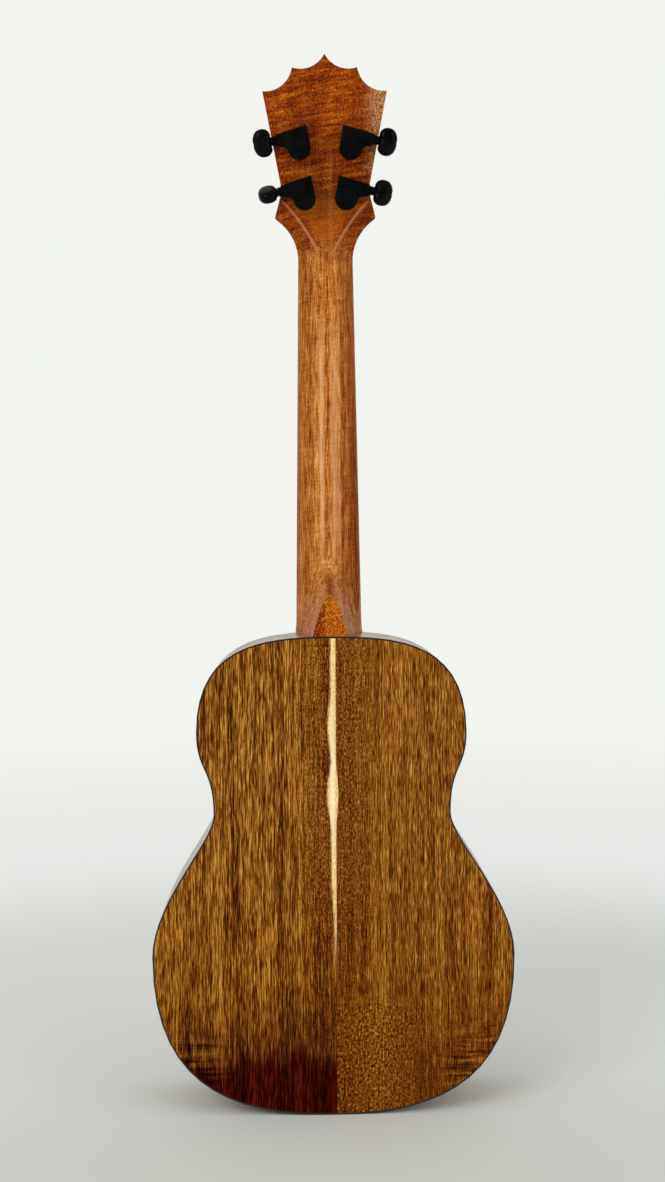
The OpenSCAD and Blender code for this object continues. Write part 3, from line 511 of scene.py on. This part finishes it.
def bone():
    n = Finish("bone", Specular_IOR_Level=0.5, Subsurface_Weight=0.15, Subsurface_Scale=0.002)
    lines = n.noise(n.times(n.x, 0.4), n.times(n.y, 2.0), n.times(n.z, 2.0), 3.0, 0.6)
    colour = n.ramp(lines, [
        (0.3, rgb(222, 208, 176)), (0.55, rgb(240, 231, 208)), (0.8, rgb(248, 243, 228)),
    ])
    return n.look(colour, n.step(lines, 0.3, 0.7, 0.3, 0.4), lines, 0.01)


def shell():
    n = Finish(
        "shell_dots", Specular_IOR_Level=0.7, Coat_Weight=0.5, Coat_Roughness=0.05, Roughness=0.25
    )
    swirl = n.noise(n.times(n.x, 0.5), n.times(n.y, 0.5), n.times(n.z, 0.5), 3.0, 0.6, 2.0)
    colour = n.ramp(swirl, [
        (0.3, rgb(196, 214, 214)), (0.45, rgb(236, 226, 228)),
        (0.6, rgb(216, 232, 222)), (0.75, rgb(244, 240, 228)),
    ])
    return n.look(colour)


BLACK = rgb(3, 3, 4)
finishes = {
    "koa_back": koa_back(),
    "koa_sides": koa_plain("koa_sides", "sides", 0.45),
    "koa_top": koa_plain("koa_top", "top", 0.5, 1.05),
    "black_binding": moulded("black_binding", rgb(20, 12, 8), 0.2, 0.32, 2.0),
    "spruce": soft_wood("spruce", rgb(196, 156, 104), rgb(226, 194, 146)),
    "inner_mahogany": soft_wood("inner_mahogany", rgb(120, 70, 40), rgb(164, 104, 62)),
    "neck_koa": neck_wood(),
    "dark_fretwood": dark_wood(),
    "bone": bone(),
    "shell_dots": shell(),
    "fretwire": brushed("fretwire", (0.72, 0.7, 0.64, 1.0), 0.22, 0),
    "steel": brushed("steel", (0.55, 0.55, 0.56, 1.0), 0.3, 2),
    "brass": brushed("brass", (0.8, 0.58, 0.26, 1.0), 0.28, 2),
    "nylon": moulded("nylon", rgb(226, 226, 220), 0.2, 0.3, 1.0, 0.5, 0.004),
    "black_tuner": moulded("black_tuner", BLACK, 0.3, 0.42, 5.0, 0.04, 0.006),
    "black_knob": moulded("black_knob", BLACK, 0.26, 0.38, 4.0, 0.07, 0.006),
    "black_shaft": moulded(
        "black_shaft", rgb(22, 22, 23), 0.25, 0.35, 3.0, 0.6, 0.004, Metallic=0.6
    ),
}
slot_of = {part["node"]: part["material_slot"] for part in frame["record"]["subparts"]}


def smooth(mesh, degrees):
    """Smooth shading, with edges sharper than the given angle kept crisp."""
    mesh.polygons.foreach_set("use_smooth", [True] * len(mesh.polygons))
    mesh.set_sharp_from_angle(angle=math.radians(degrees))


for name, node in nodes.items():
    node.data.materials.clear()
    node.data.materials.append(finishes[slot_of[name]])
    smooth(node.data, 32)

# ---- Neck: the CAD's own section functions on a finer net ----


def clamp01(x):
    return max(0.0, min(1.0, x))


def ease(a, b, x):
    t = clamp01((x - a) / (b - a))
    return t * t * (3 - 2 * t)


def mix(a, b, t):
    return a + (b - a) * t


def soft_max(a, b, r):
    h = max(r - abs(a - b), 0) / r
    return max(a, b) + h * h * r / 4


def head_half(u):
    d = clamp01((u - 4.6) / 31.0)
    ear = NUT_HALF - 0.1 + 31.0 * (1 - math.sqrt(1 - d * d))
    side = soft_max(
        NARROW_HALF + (NARROW_AT - u) * 0.28, NARROW_HALF + (u - NARROW_AT) * SIDE_SLOPE, 1
    )
    return -soft_max(-ear, -side, 2.4)


def neck_half(u):
    return NUT_HALF + (JOINT_HALF - NUT_HALF) * u / JOINT_Z if u < 0 else head_half(u)


def ridge_half(u):
    if u > HEAD_START:
        return min(neck_half(u), 4.3 + 0.0165 * (u - HEAD_START) ** 2)
    return 4.3 * clamp01(1 + (u - HEAD_START) / 195)


def neck_depth(u):
    return mix(DEPTH_NUT, DEPTH_HEEL, clamp01(u / HEEL_START))


def depth_at(u):
    if u >= HEEL_START:
        return mix(neck_depth(min(u, 0)), HEAD_T, ease(-5, 15, u))
    t = clamp01((HEEL_START - u) / (HEEL_START - HEEL_APEX))
    plane = HEEL_Y - (u - JOINT_Z) * BACK_SLOPE
    return mix(neck_depth(u), plane, 1 - math.sqrt(1 - t * t))


def heel_half(u, y):
    k = clamp01((y - DEPTH_HEEL) / (HEEL_Y - DEPTH_HEEL))
    apex = HEEL_START - (HEEL_START - HEEL_APEX) * math.sqrt(1 - (1 - k) ** 2)
    if u >= apex:
        return 0.0
    flare = (1 - clamp01((y - 8) / (HEEL_Y - 8))) ** 1.9
    wide = HEEL_CAP_HALF + (JOINT_HALF - HEEL_CAP_HALF) * flare
    return wide * clamp01((apex - u) / (apex - JOINT_Z)) ** 0.58


def round_half(u, y):
    k = clamp01(y / neck_depth(min(u, 0)))
    c = ridge_half(u)
    return (c if k < 1 else 0) + (neck_half(u) - c) * (1 - k ** 2.3) ** (1 / 1.9)


def edge_rise(u):
    return clamp01(1 - 0.5 * (neck_half(u) - ridge_half(u)) / HEAD_T)


def scoop_half(u, y):
    e, k, c = edge_rise(u), y / HEAD_T, ridge_half(u)
    if k <= e or e > 0.995:
        return neck_half(u)
    return c + (neck_half(u) - c) * clamp01(1 - (k - e) / (1 - e)) ** 1.25


def half_at(u, y):
    if u > -12:
        return mix(round_half(u, y), scoop_half(u, y), ease(-12, 14, u))
    if u < HEEL_START:
        return soft_max(round_half(u, y), heel_half(u, y), 2)
    return round_half(u, y)


WALL_STEPS, BACK_STEPS = 7, 26


def level(u, j):
    e = mix(0.3, edge_rise(u), ease(-12, 14, u)) if u > -12 else 0.3
    if j <= WALL_STEPS:
        return e * j / WALL_STEPS
    return e + (1 - e) * math.sin(math.pi / 2 * (j - WALL_STEPS) / BACK_STEPS)


def section_point(u, x, y):
    tilt = HEAD_ANGLE * ease(-10, 20, u)
    past = max(u - HEAD_START, 0)
    return Vector((
        x,
        past * math.sin(HEAD_ANGLE) + y * math.cos(tilt),
        min(u, HEAD_START) + past * math.cos(HEAD_ANGLE) - y * math.sin(tilt),
    )) * MM


def neck_section(u):
    last = WALL_STEPS + BACK_STEPS
    half = []
    for j in range(last + 1):
        y = depth_at(u) * level(u, j)
        if j < last:
            x = half_at(u, y)
        else:
            x = heel_half(u, y) if u < HEEL_APEX else ridge_half(u)
        half.append((max(x, 0.05), y))
    flat = [half[-1][0] * k / 3 for k in (2, 1, 0)]
    top = half[-1][1]
    side = half + [(x, top) for x in flat]
    points = [section_point(u, x, y) for x, y in side]
    return points + [section_point(u, -x, y) for x, y in reversed(side[:-1])]


def spread(a, b, count):
    return [mix(a, b, i / count) for i in range(count + 1)]


def mesh_object(name, points, faces):
    mesh = bpy.data.meshes.new(name)
    mesh.from_pydata([tuple(p) for p in points], [], faces)
    mesh.update()
    piece = bpy.data.objects.new(name, mesh)
    bpy.context.scene.collection.objects.link(piece)
    return piece


def loft(name, rings, closed_ends=True):
    m = len(rings[0])
    points = [p for ring in rings for p in ring]
    faces = [
        (i * m + j, i * m + (j + 1) % m, (i + 1) * m + (j + 1) % m, (i + 1) * m + j)
        for i in range(len(rings) - 1) for j in range(m)
    ]
    if closed_ends:
        faces.append(tuple(range(m - 1, -1, -1)))
        faces.append(tuple((len(rings) - 1) * m + j for j in range(m)))
    piece = mesh_object(name, points, faces)
    outward(piece.data)
    return piece


def outward(mesh):
    shape = bmesh.new()
    shape.from_mesh(mesh)
    bmesh.ops.recalc_face_normals(shape, faces=shape.faces)
    shape.to_mesh(mesh)
    shape.free()


def prism(name, outline, low, high, place):
    """An outline in x and z, thickened in y from low to high, and placed by a matrix. In mm."""
    rings = [[place @ Vector((x, y, z)) * MM for x, z in outline] for y in (low, high)]
    return loft(name, rings)


def rod(name, a, b, radius, sides=48):
    """A closed cylinder between two points, in mm."""
    a, b = Vector(a), Vector(b)
    turn = (b - a).to_track_quat("Z", "Y")
    ring = [
        turn @ Vector((radius * math.cos(t), radius * math.sin(t), 0))
        for t in (2 * math.pi * k / sides for k in range(sides))
    ]
    return loft(name, [[(p + end) * MM for p in ring] for end in (a, b)])


def applied_mesh(piece):
    """A new mesh of the object as it is drawn, with its modifiers or its bevel applied."""
    bpy.context.view_layer.update()
    drawn = piece.evaluated_get(bpy.context.evaluated_depsgraph_get())
    return bpy.data.meshes.new_from_object(drawn)


def cut(piece, tools):
    """Takes the closed tools away from the piece, and applies the result to its mesh."""
    for tool in tools:
        modifier = piece.modifiers.new("cut", "BOOLEAN")
        modifier.object = tool
        modifier.operation = "DIFFERENCE"
        modifier.solver = "EXACT"
    made = applied_mesh(piece)
    piece.modifiers.clear()
    piece.data = made
    for tool in tools:
        bpy.data.objects.remove(tool)


def arc(centre, radius, start, end, steps):
    """Points on an arc from the point nearest start to the point nearest end, the short way."""
    a = math.atan2(start[1] - centre[1], start[0] - centre[0])
    b = math.atan2(end[1] - centre[1], end[0] - centre[0])
    if b - a > math.pi:
        b -= 2 * math.pi
    if a - b > math.pi:
        b += 2 * math.pi
    turns = [mix(a, b, i / steps) for i in range(steps + 1)]
    return [(centre[0] + radius * math.cos(t), centre[1] + radius * math.sin(t)) for t in turns]


HEAD_PLACE = (
    Matrix.Translation((0, 0, HEAD_START)) @ Matrix.Rotation(-HEAD_ANGLE, 4, "X")
    @ Matrix.Translation((0, 0, -HEAD_START))
)


def crown_cutter():
    """Everything above the three tips and the four scallops of the crown."""
    tip = (0.0, CROWN_TIP)
    middle = (20.5, CROWN_TIP - 8.3)
    corner = (CROWN_HALF, CROWN_TIP - 22.8)
    inner = arc((15.2, CROWN_TIP + 8.1), SCALLOP_R, tip, middle, 24)
    outer = arc((37.7, CROWN_TIP - 5.45), SCALLOP_R, middle, corner, 24)
    half = [tip] + inner[1:-1] + [middle] + outer[1:-1]
    half += [corner, (60.0, corner[1]), (60.0, 200.0)]
    outline = half + [(-x, z) for x, z in reversed(half[1:])]
    return prism("crown_cutter", outline, -20, 40, HEAD_PLACE)


# ---- Tuners: where each one is, and which body it rides on ----

# Side, the post's place across and from the nut, the shaft's tilt, the knob's rest turn
TUNERS = {
    "g": (-1, -13.4, 44.0, 10.5, 27),
    "c": (-1, -16.3, 75.0, 9.5, 6),
    "e": (1, 16.3, 75.0, 10.5, 0),
    "a": (1, 13.4, 44.0, 12, 67),
}
WORM_Y, WORM_Z = 7.5, -HEAD_T - 5.5
KNOB_IN, KNOB_L = 15.9, 12.2
KNOB_HALF_ALONG, KNOB_HALF_UP, KNOB_HALF_T = 6.4, 8.75, 4.1
SHAFT_R, SCREW_R, SCREW_HEAD_R = 1.75, 0.8, 1.95
COLLAR_SIDES = 40
# Place along the shaft and radius of each ring of the collar
COLLAR_RINGS = (
    (15.75, 1.76), (15.75, 2.5), (16.0, 2.8), (16.5, 2.85), (16.9, 2.6),
    (17.2, 2.2), (17.6, 2.15), (18.2, 2.5), (19.4, 3.0), (19.4, 1.76),
)


def tuner_place(key):
    """From a tuner's own axes to the frame: x along the knob's shaft, z out of the head."""
    side, post_x, post_u, tilt, _ = TUNERS[key]
    lean = Matrix.Rotation(-math.radians(tilt), 4, "Z")
    stand = Matrix.Rotation(math.pi / 2, 4, "X")
    flip = Matrix.Scale(-1, 4, (1, 0, 0)) if side < 0 else Matrix.Identity(4)
    return HEAD_PLACE @ Matrix.Translation((post_x, 0, post_u)) @ flip @ stand @ lean


def make_neck():
    stations = (
        spread(LOFT_END, HEEL_APEX - 0.6, 22)
        + [mix(HEEL_APEX, HEEL_START, 1 - math.cos(math.pi / 2 * i / 30)) for i in range(31)]
        + spread(HEEL_START, -14, 40)[1:]
        + spread(-12, 22, 22)
        + spread(23, 50, 40)
        + [56.0, 70.0, 90.0, 110.0, CROWN_TIP + 6]
    )
    neck = loft("neck_wood", [neck_section(u) for u in stations])
    tools = [crown_cutter()]
    # The body's end is nearly flat across the heel, so a block as wide as the neck follows it
    outline = [(x, body_top(x)) for x in spread(-60.0, 60.0, 48)]
    outline = [(-60.0, JOINT_Z - 30)] + outline + [(60.0, JOINT_Z - 30)]
    tools.append(prism("body_cutter", outline, -5, 90, Matrix.Identity(4)))
    for key in TUNERS:
        place = tuner_place(key)
        back, front = place @ Vector((0, 0, -HEAD_T - 5)), place @ Vector((0, 0, 10))
        tools.append(rod("hole", back, front, BUSHING_HOLE_R))
    tools.append(rod("hole", (0, BOLT_Y, JOINT_Z - 5), (0, BOLT_Y, JOINT_Z + 13), BOLT_HOLE_R))
    cut(neck, tools)
    neck.data.materials.append(finishes["neck_koa"])
    smooth(neck.data, 26)
    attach(neck, "instrument")
    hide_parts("neck")


def bezier(a, b, c, d, t):
    return (1 - t) ** 3 * a + 3 * (1 - t) ** 2 * t * b + 3 * (1 - t) * t * t * c + t ** 3 * d


def body_top(x):
    """Height of the body's outline above the neck's end, from the same curve as the CAD's."""
    x = abs(x)
    low, high = 0.0, 1.0
    for _ in range(40):
        t = (low + high) / 2
        if bezier(*TOP_ACROSS, t) < x:
            low = t
        else:
            high = t
    return TAIL_Z + bezier(*TOP_UP, (low + high) / 2)


# ---- Knobs ----


def knob_point(turn, ring, side):
    """A point of the kidney-shaped knob: ring runs from the middle of a face, 0, to its rim, 1."""
    dent = 1.5 * math.exp(-((math.pi - abs(math.pi - turn)) - math.pi) ** 2 / 0.16)
    along = KNOB_HALF_ALONG * abs(math.cos(turn)) ** 0.86 * (1 if math.cos(turn) > 0 else -1)
    up = KNOB_HALF_UP * abs(math.sin(turn)) ** 0.9 * (1 if math.sin(turn) > 0 else -1)
    along += dent
    dome = (1 - ring ** 3.4) ** (1 / 2.3)
    middle = KNOB_IN + KNOB_L / 2 + 0.15
    return Vector((middle + along * ring, up * ring, side * KNOB_HALF_T * dome))


def make_knob(key):
    turn = Matrix.Rotation(math.radians(TUNERS[key][4]), 4, "X")
    place = tuner_place(key) @ Matrix.Translation((0, WORM_Y, WORM_Z)) @ turn
    around, deep = 64, 14
    rims = [math.sin(math.pi / 2 * k / deep) for k in range(1, deep + 1)]
    turns = [2 * math.pi * j / around for j in range(around)]
    rings = [[knob_point(t, r, 1) for t in turns] for r in rims]
    rings += [[knob_point(t, r, -1) for t in turns] for r in reversed(rims[:-1])]
    knob = loft(f"knob_grip_{key}", [[place @ p * MM for p in ring] for ring in rings])
    start, end = KNOB_IN + KNOB_L - 1.4, KNOB_IN + KNOB_L + 3
    cut(knob, [
        rod("hole", place @ Vector((a, 0, 0)), place @ Vector((b, 0, 0)), radius)
        for a, b, radius in (
            (start, end, SCREW_HEAD_R), (KNOB_IN - 2, KNOB_IN + 7, SHAFT_R),
            (KNOB_IN + 6, end, SCREW_R),
        )
    ])
    knob.data.materials.append(finishes["black_knob"])
    smooth(knob.data, 40)
    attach(knob, f"knob_{key}_body")
    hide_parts(f"knob_{key}")
    turns = [2 * math.pi * j / COLLAR_SIDES for j in range(COLLAR_SIDES)]
    collar = loft(f"knob_collar_{key}", [
        [place @ Vector((x, r * math.cos(t), r * math.sin(t))) * MM for t in turns]
        for x, r in COLLAR_RINGS
    ], closed_ends=False)
    close_ring(collar.data, COLLAR_SIDES, len(COLLAR_RINGS))
    collar.data.materials.append(finishes["black_knob"])
    smooth(collar.data, 40)
    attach(collar, f"knob_{key}_body")


def close_ring(mesh, around, count):
    """Joins the last ring of an open sleeve to its first one."""
    shape = bmesh.new()
    shape.from_mesh(mesh)
    shape.verts.ensure_lookup_table()
    last = (count - 1) * around
    for j in range(around):
        k = (j + 1) % around
        shape.faces.new([shape.verts[q] for q in (last + j, last + k, k, j)])
    bmesh.ops.recalc_face_normals(shape, faces=shape.faces)
    shape.to_mesh(mesh)
    shape.free()


# ---- Strings ----

STRING_R = 0.35
POST_R = 2.3
WINDING_Z = 6.8
TURNS = 3.6
NUT_Y, NUT_L = -7.4, 4.6
SADDLE_Y, SADDLE_Z = -11.4, -433.5
BRIDGE_END = SADDLE_Z - 18
TIE_Y = -5.0


def tube(name, paths, radius):
    """A mesh of round cords along paths of points in mm."""
    data = bpy.data.curves.new(name, "CURVE")
    data.dimensions = "3D"
    data.bevel_depth = radius * MM
    data.bevel_resolution = 3
    data.use_fill_caps = True
    for path in paths:
        line = data.splines.new("POLY")
        line.points.add(len(path) - 1)
        for point, place in zip(line.points, path):
            point.co = (*(Vector(place) * MM), 1)
    curve = bpy.data.objects.new(name + "_curve", data)
    bpy.context.scene.collection.objects.link(curve)
    mesh = applied_mesh(curve)
    bpy.data.objects.remove(curve)
    piece = bpy.data.objects.new(name, mesh)
    bpy.context.scene.collection.objects.link(piece)
    smooth(mesh, 50)
    return piece


def rounded(points, radius, steps=6):
    """The same path with each corner turned on a short curve."""
    points = [Vector(p) for p in points]
    path = [points[0]]
    for before, here, after in zip(points, points[1:], points[2:]):
        a = here + (before - here).normalized() * min(radius, (before - here).length * 0.45)
        b = here + (after - here).normalized() * min(radius, (after - here).length * 0.45)
        for k in range(steps + 1):
            t = k / steps
            path.append((1 - t) ** 2 * a + 2 * t * (1 - t) * here + t * t * b)
    return path + [points[-1]]


def make_strings():
    paths = []
    for i, key in enumerate("gcea"):
        side, post_x, post_u, _, _ = TUNERS[key]
        x_nut, x_saddle = (i - 1.5) * 8.8, (i - 1.5) * 13.6
        reach = HEAD_PLACE @ Vector((post_x - side * (POST_R + STRING_R), -WINDING_Z, post_u))
        top = -8 - STRING_R
        paths.append(rounded([
            (x_saddle + 1.1, top, BRIDGE_END + 6.5),
            (x_saddle + 1.0, top, BRIDGE_END + 1.0),
            (x_saddle - 0.8, top - 0.5, BRIDGE_END + 3.6),
            (x_saddle - 0.9, top - 0.3, BRIDGE_END + 8.2),
            (x_saddle + 0.7, TIE_Y - 2.0, BRIDGE_END + 9.0),
            (x_saddle + 0.8, top - 0.2, BRIDGE_END + 7.6),
            (x_saddle, top, BRIDGE_END + 0.6),
            (x_saddle, TIE_Y - 1.2, BRIDGE_END - 0.7),
            (x_saddle, TIE_Y, BRIDGE_END - 0.4),
            (x_saddle, TIE_Y, BRIDGE_END + 8.4),
            (x_saddle, SADDLE_Y - STRING_R, SADDLE_Z),
            (x_nut, NUT_Y, NUT_L / 2),
            reach,
        ], 0.8))
    strings = tube("string_runs", paths, STRING_R)
    strings.data.materials.append(finishes["nylon"])
    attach(strings, "instrument")
    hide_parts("strings")


def make_winding(key):
    """The turns round the post's waist, and the end that goes through the post's hole."""
    place = tuner_place(key)
    start = math.radians(192)
    steps = 150
    path = []
    for k in range(steps + 1):
        t = k / steps
        angle = start + 2 * math.pi * TURNS * t
        r = POST_R + STRING_R
        rise = mix(WINDING_Z + 1.1, WINDING_Z - 1.1, t)
        path.append(place @ Vector((r * math.cos(angle), r * math.sin(angle), rise)))
    stub = [place @ Vector((x, 0, WINDING_Z + 2.6)) for x in (-3.6, 4.4)]
    winding = tube(f"string_turns_{key}", [path, stub], STRING_R - 0.01)
    winding.data.materials.append(finishes["nylon"])
    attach(winding, f"post_{key}_body")
    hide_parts(f"string_winding_{key}")


def bevel(name, width, segments=2, angle=35):
    modifier = nodes[name].modifiers.new("soft_edges", "BEVEL")
    modifier.width = width * MM
    modifier.segments = segments
    modifier.limit_method = "ANGLE"
    modifier.angle_limit = math.radians(angle)
    modifier.harden_normals = False


# ---- Stage ----

PAPER = rgb(241, 244, 239)
HORIZON = rgb(231, 232, 229)
WORLD_FILL = 0.82


def make_floor():
    """A round pale floor that fades into the backdrop's colour away from the object."""
    rings = [0.0, 0.3, 0.6, 0.9, 1.5, 3.0, 8.0]
    points = [Vector((0, 0, cad_low.z))]
    around = 96
    turns = [2 * math.pi * k / around for k in range(around)]
    for r in rings[1:]:
        points += [Vector((r * math.cos(t), r * math.sin(t), cad_low.z)) for t in turns]
    faces = [(0, 1 + k, 1 + (k + 1) % around) for k in range(around)]
    for i in range(len(rings) - 2):
        a, b = 1 + i * around, 1 + (i + 1) * around
        faces += [
            (a + k, b + k, b + (k + 1) % around, a + (k + 1) % around) for k in range(around)
        ]
    floor = mesh_object("floor", points, faces)
    n = Finish("paper", Specular_IOR_Level=0.1, Roughness=0.8)
    # Painted shade: the floor's colour darkens toward +Y, the camera's side
    near = n.step(n.y, -150.0, 260.0)
    n.look(n.mix(near, (0.735, 0.741, 0.727, 1.0), (0.612, 0.617, 0.588, 1.0)))
    far = n.math("SQRT", n.plus(n.times(n.x, n.x), n.times(n.y, n.y)))
    horizon = n.mix(n.step(far, 700.0, 2200.0), HORIZON, PAPER)
    glow = n.add("Emission", {"Color": horizon, "Strength": 1.0})
    blend = n.add("MixShader", {0: n.step(far, 380.0, 800.0), 1: n.surface.outputs[0], 2: glow})
    output = next(k for k in n.tree.nodes if k.type == "OUTPUT_MATERIAL")
    n.tree.links.new(blend, output.inputs[0])
    floor.data.materials.append(n.material)


def make_world():
    """Even pale light. Polished surfaces that face +Y mirror a darker room, as in a studio."""
    world = bpy.data.worlds.new("studio")
    bpy.context.scene.world = world
    world.use_nodes = True
    n = Nodes(world.node_tree)
    way = n.add("SeparateXYZ", {0: n.add("TexCoord", output="Generated")}, 1)
    mirrored = n.step(way, -0.35, 0.75, 0.9, 0.07)
    path = n.tree.nodes.new("ShaderNodeLightPath")
    strength = n.add("Mix", {0: path.outputs["Is Camera Ray"], 2: WORLD_FILL, 3: 1.0})
    strength = n.add("Mix", {0: path.outputs["Is Glossy Ray"], 2: strength, 3: mirrored})
    glow = n.add("Background", {"Color": PAPER, "Strength": strength})
    n.tree.links.new(glow, n.tree.nodes.new("ShaderNodeOutputWorld").inputs[0])


bpy.context.scene.view_settings.view_transform = "Standard"
make_camera()
make_world()
area_light("key", (1.3, 1.9, 1.1), LIT_AT, 1.4, 24.0)
area_light("fill", (-1.6, 1.5, 0.6), LIT_AT, 1.6, 10.0)
make_floor()

make_neck()
for tuner in TUNERS:
    make_knob(tuner)
    make_winding(tuner)
make_strings()
for part, width in (
    ("bridge", 0.5), ("saddle", 0.3), ("nut", 0.35), ("fretboard", 0.3), ("headplate", 0.3),
    ("tuner_covers", 0.3), ("tuner_housing_g", 0.45), ("tuner_housing_c", 0.45),
    ("tuner_housing_e", 0.45), ("tuner_housing_a", 0.45),
):
    bevel(part, width)
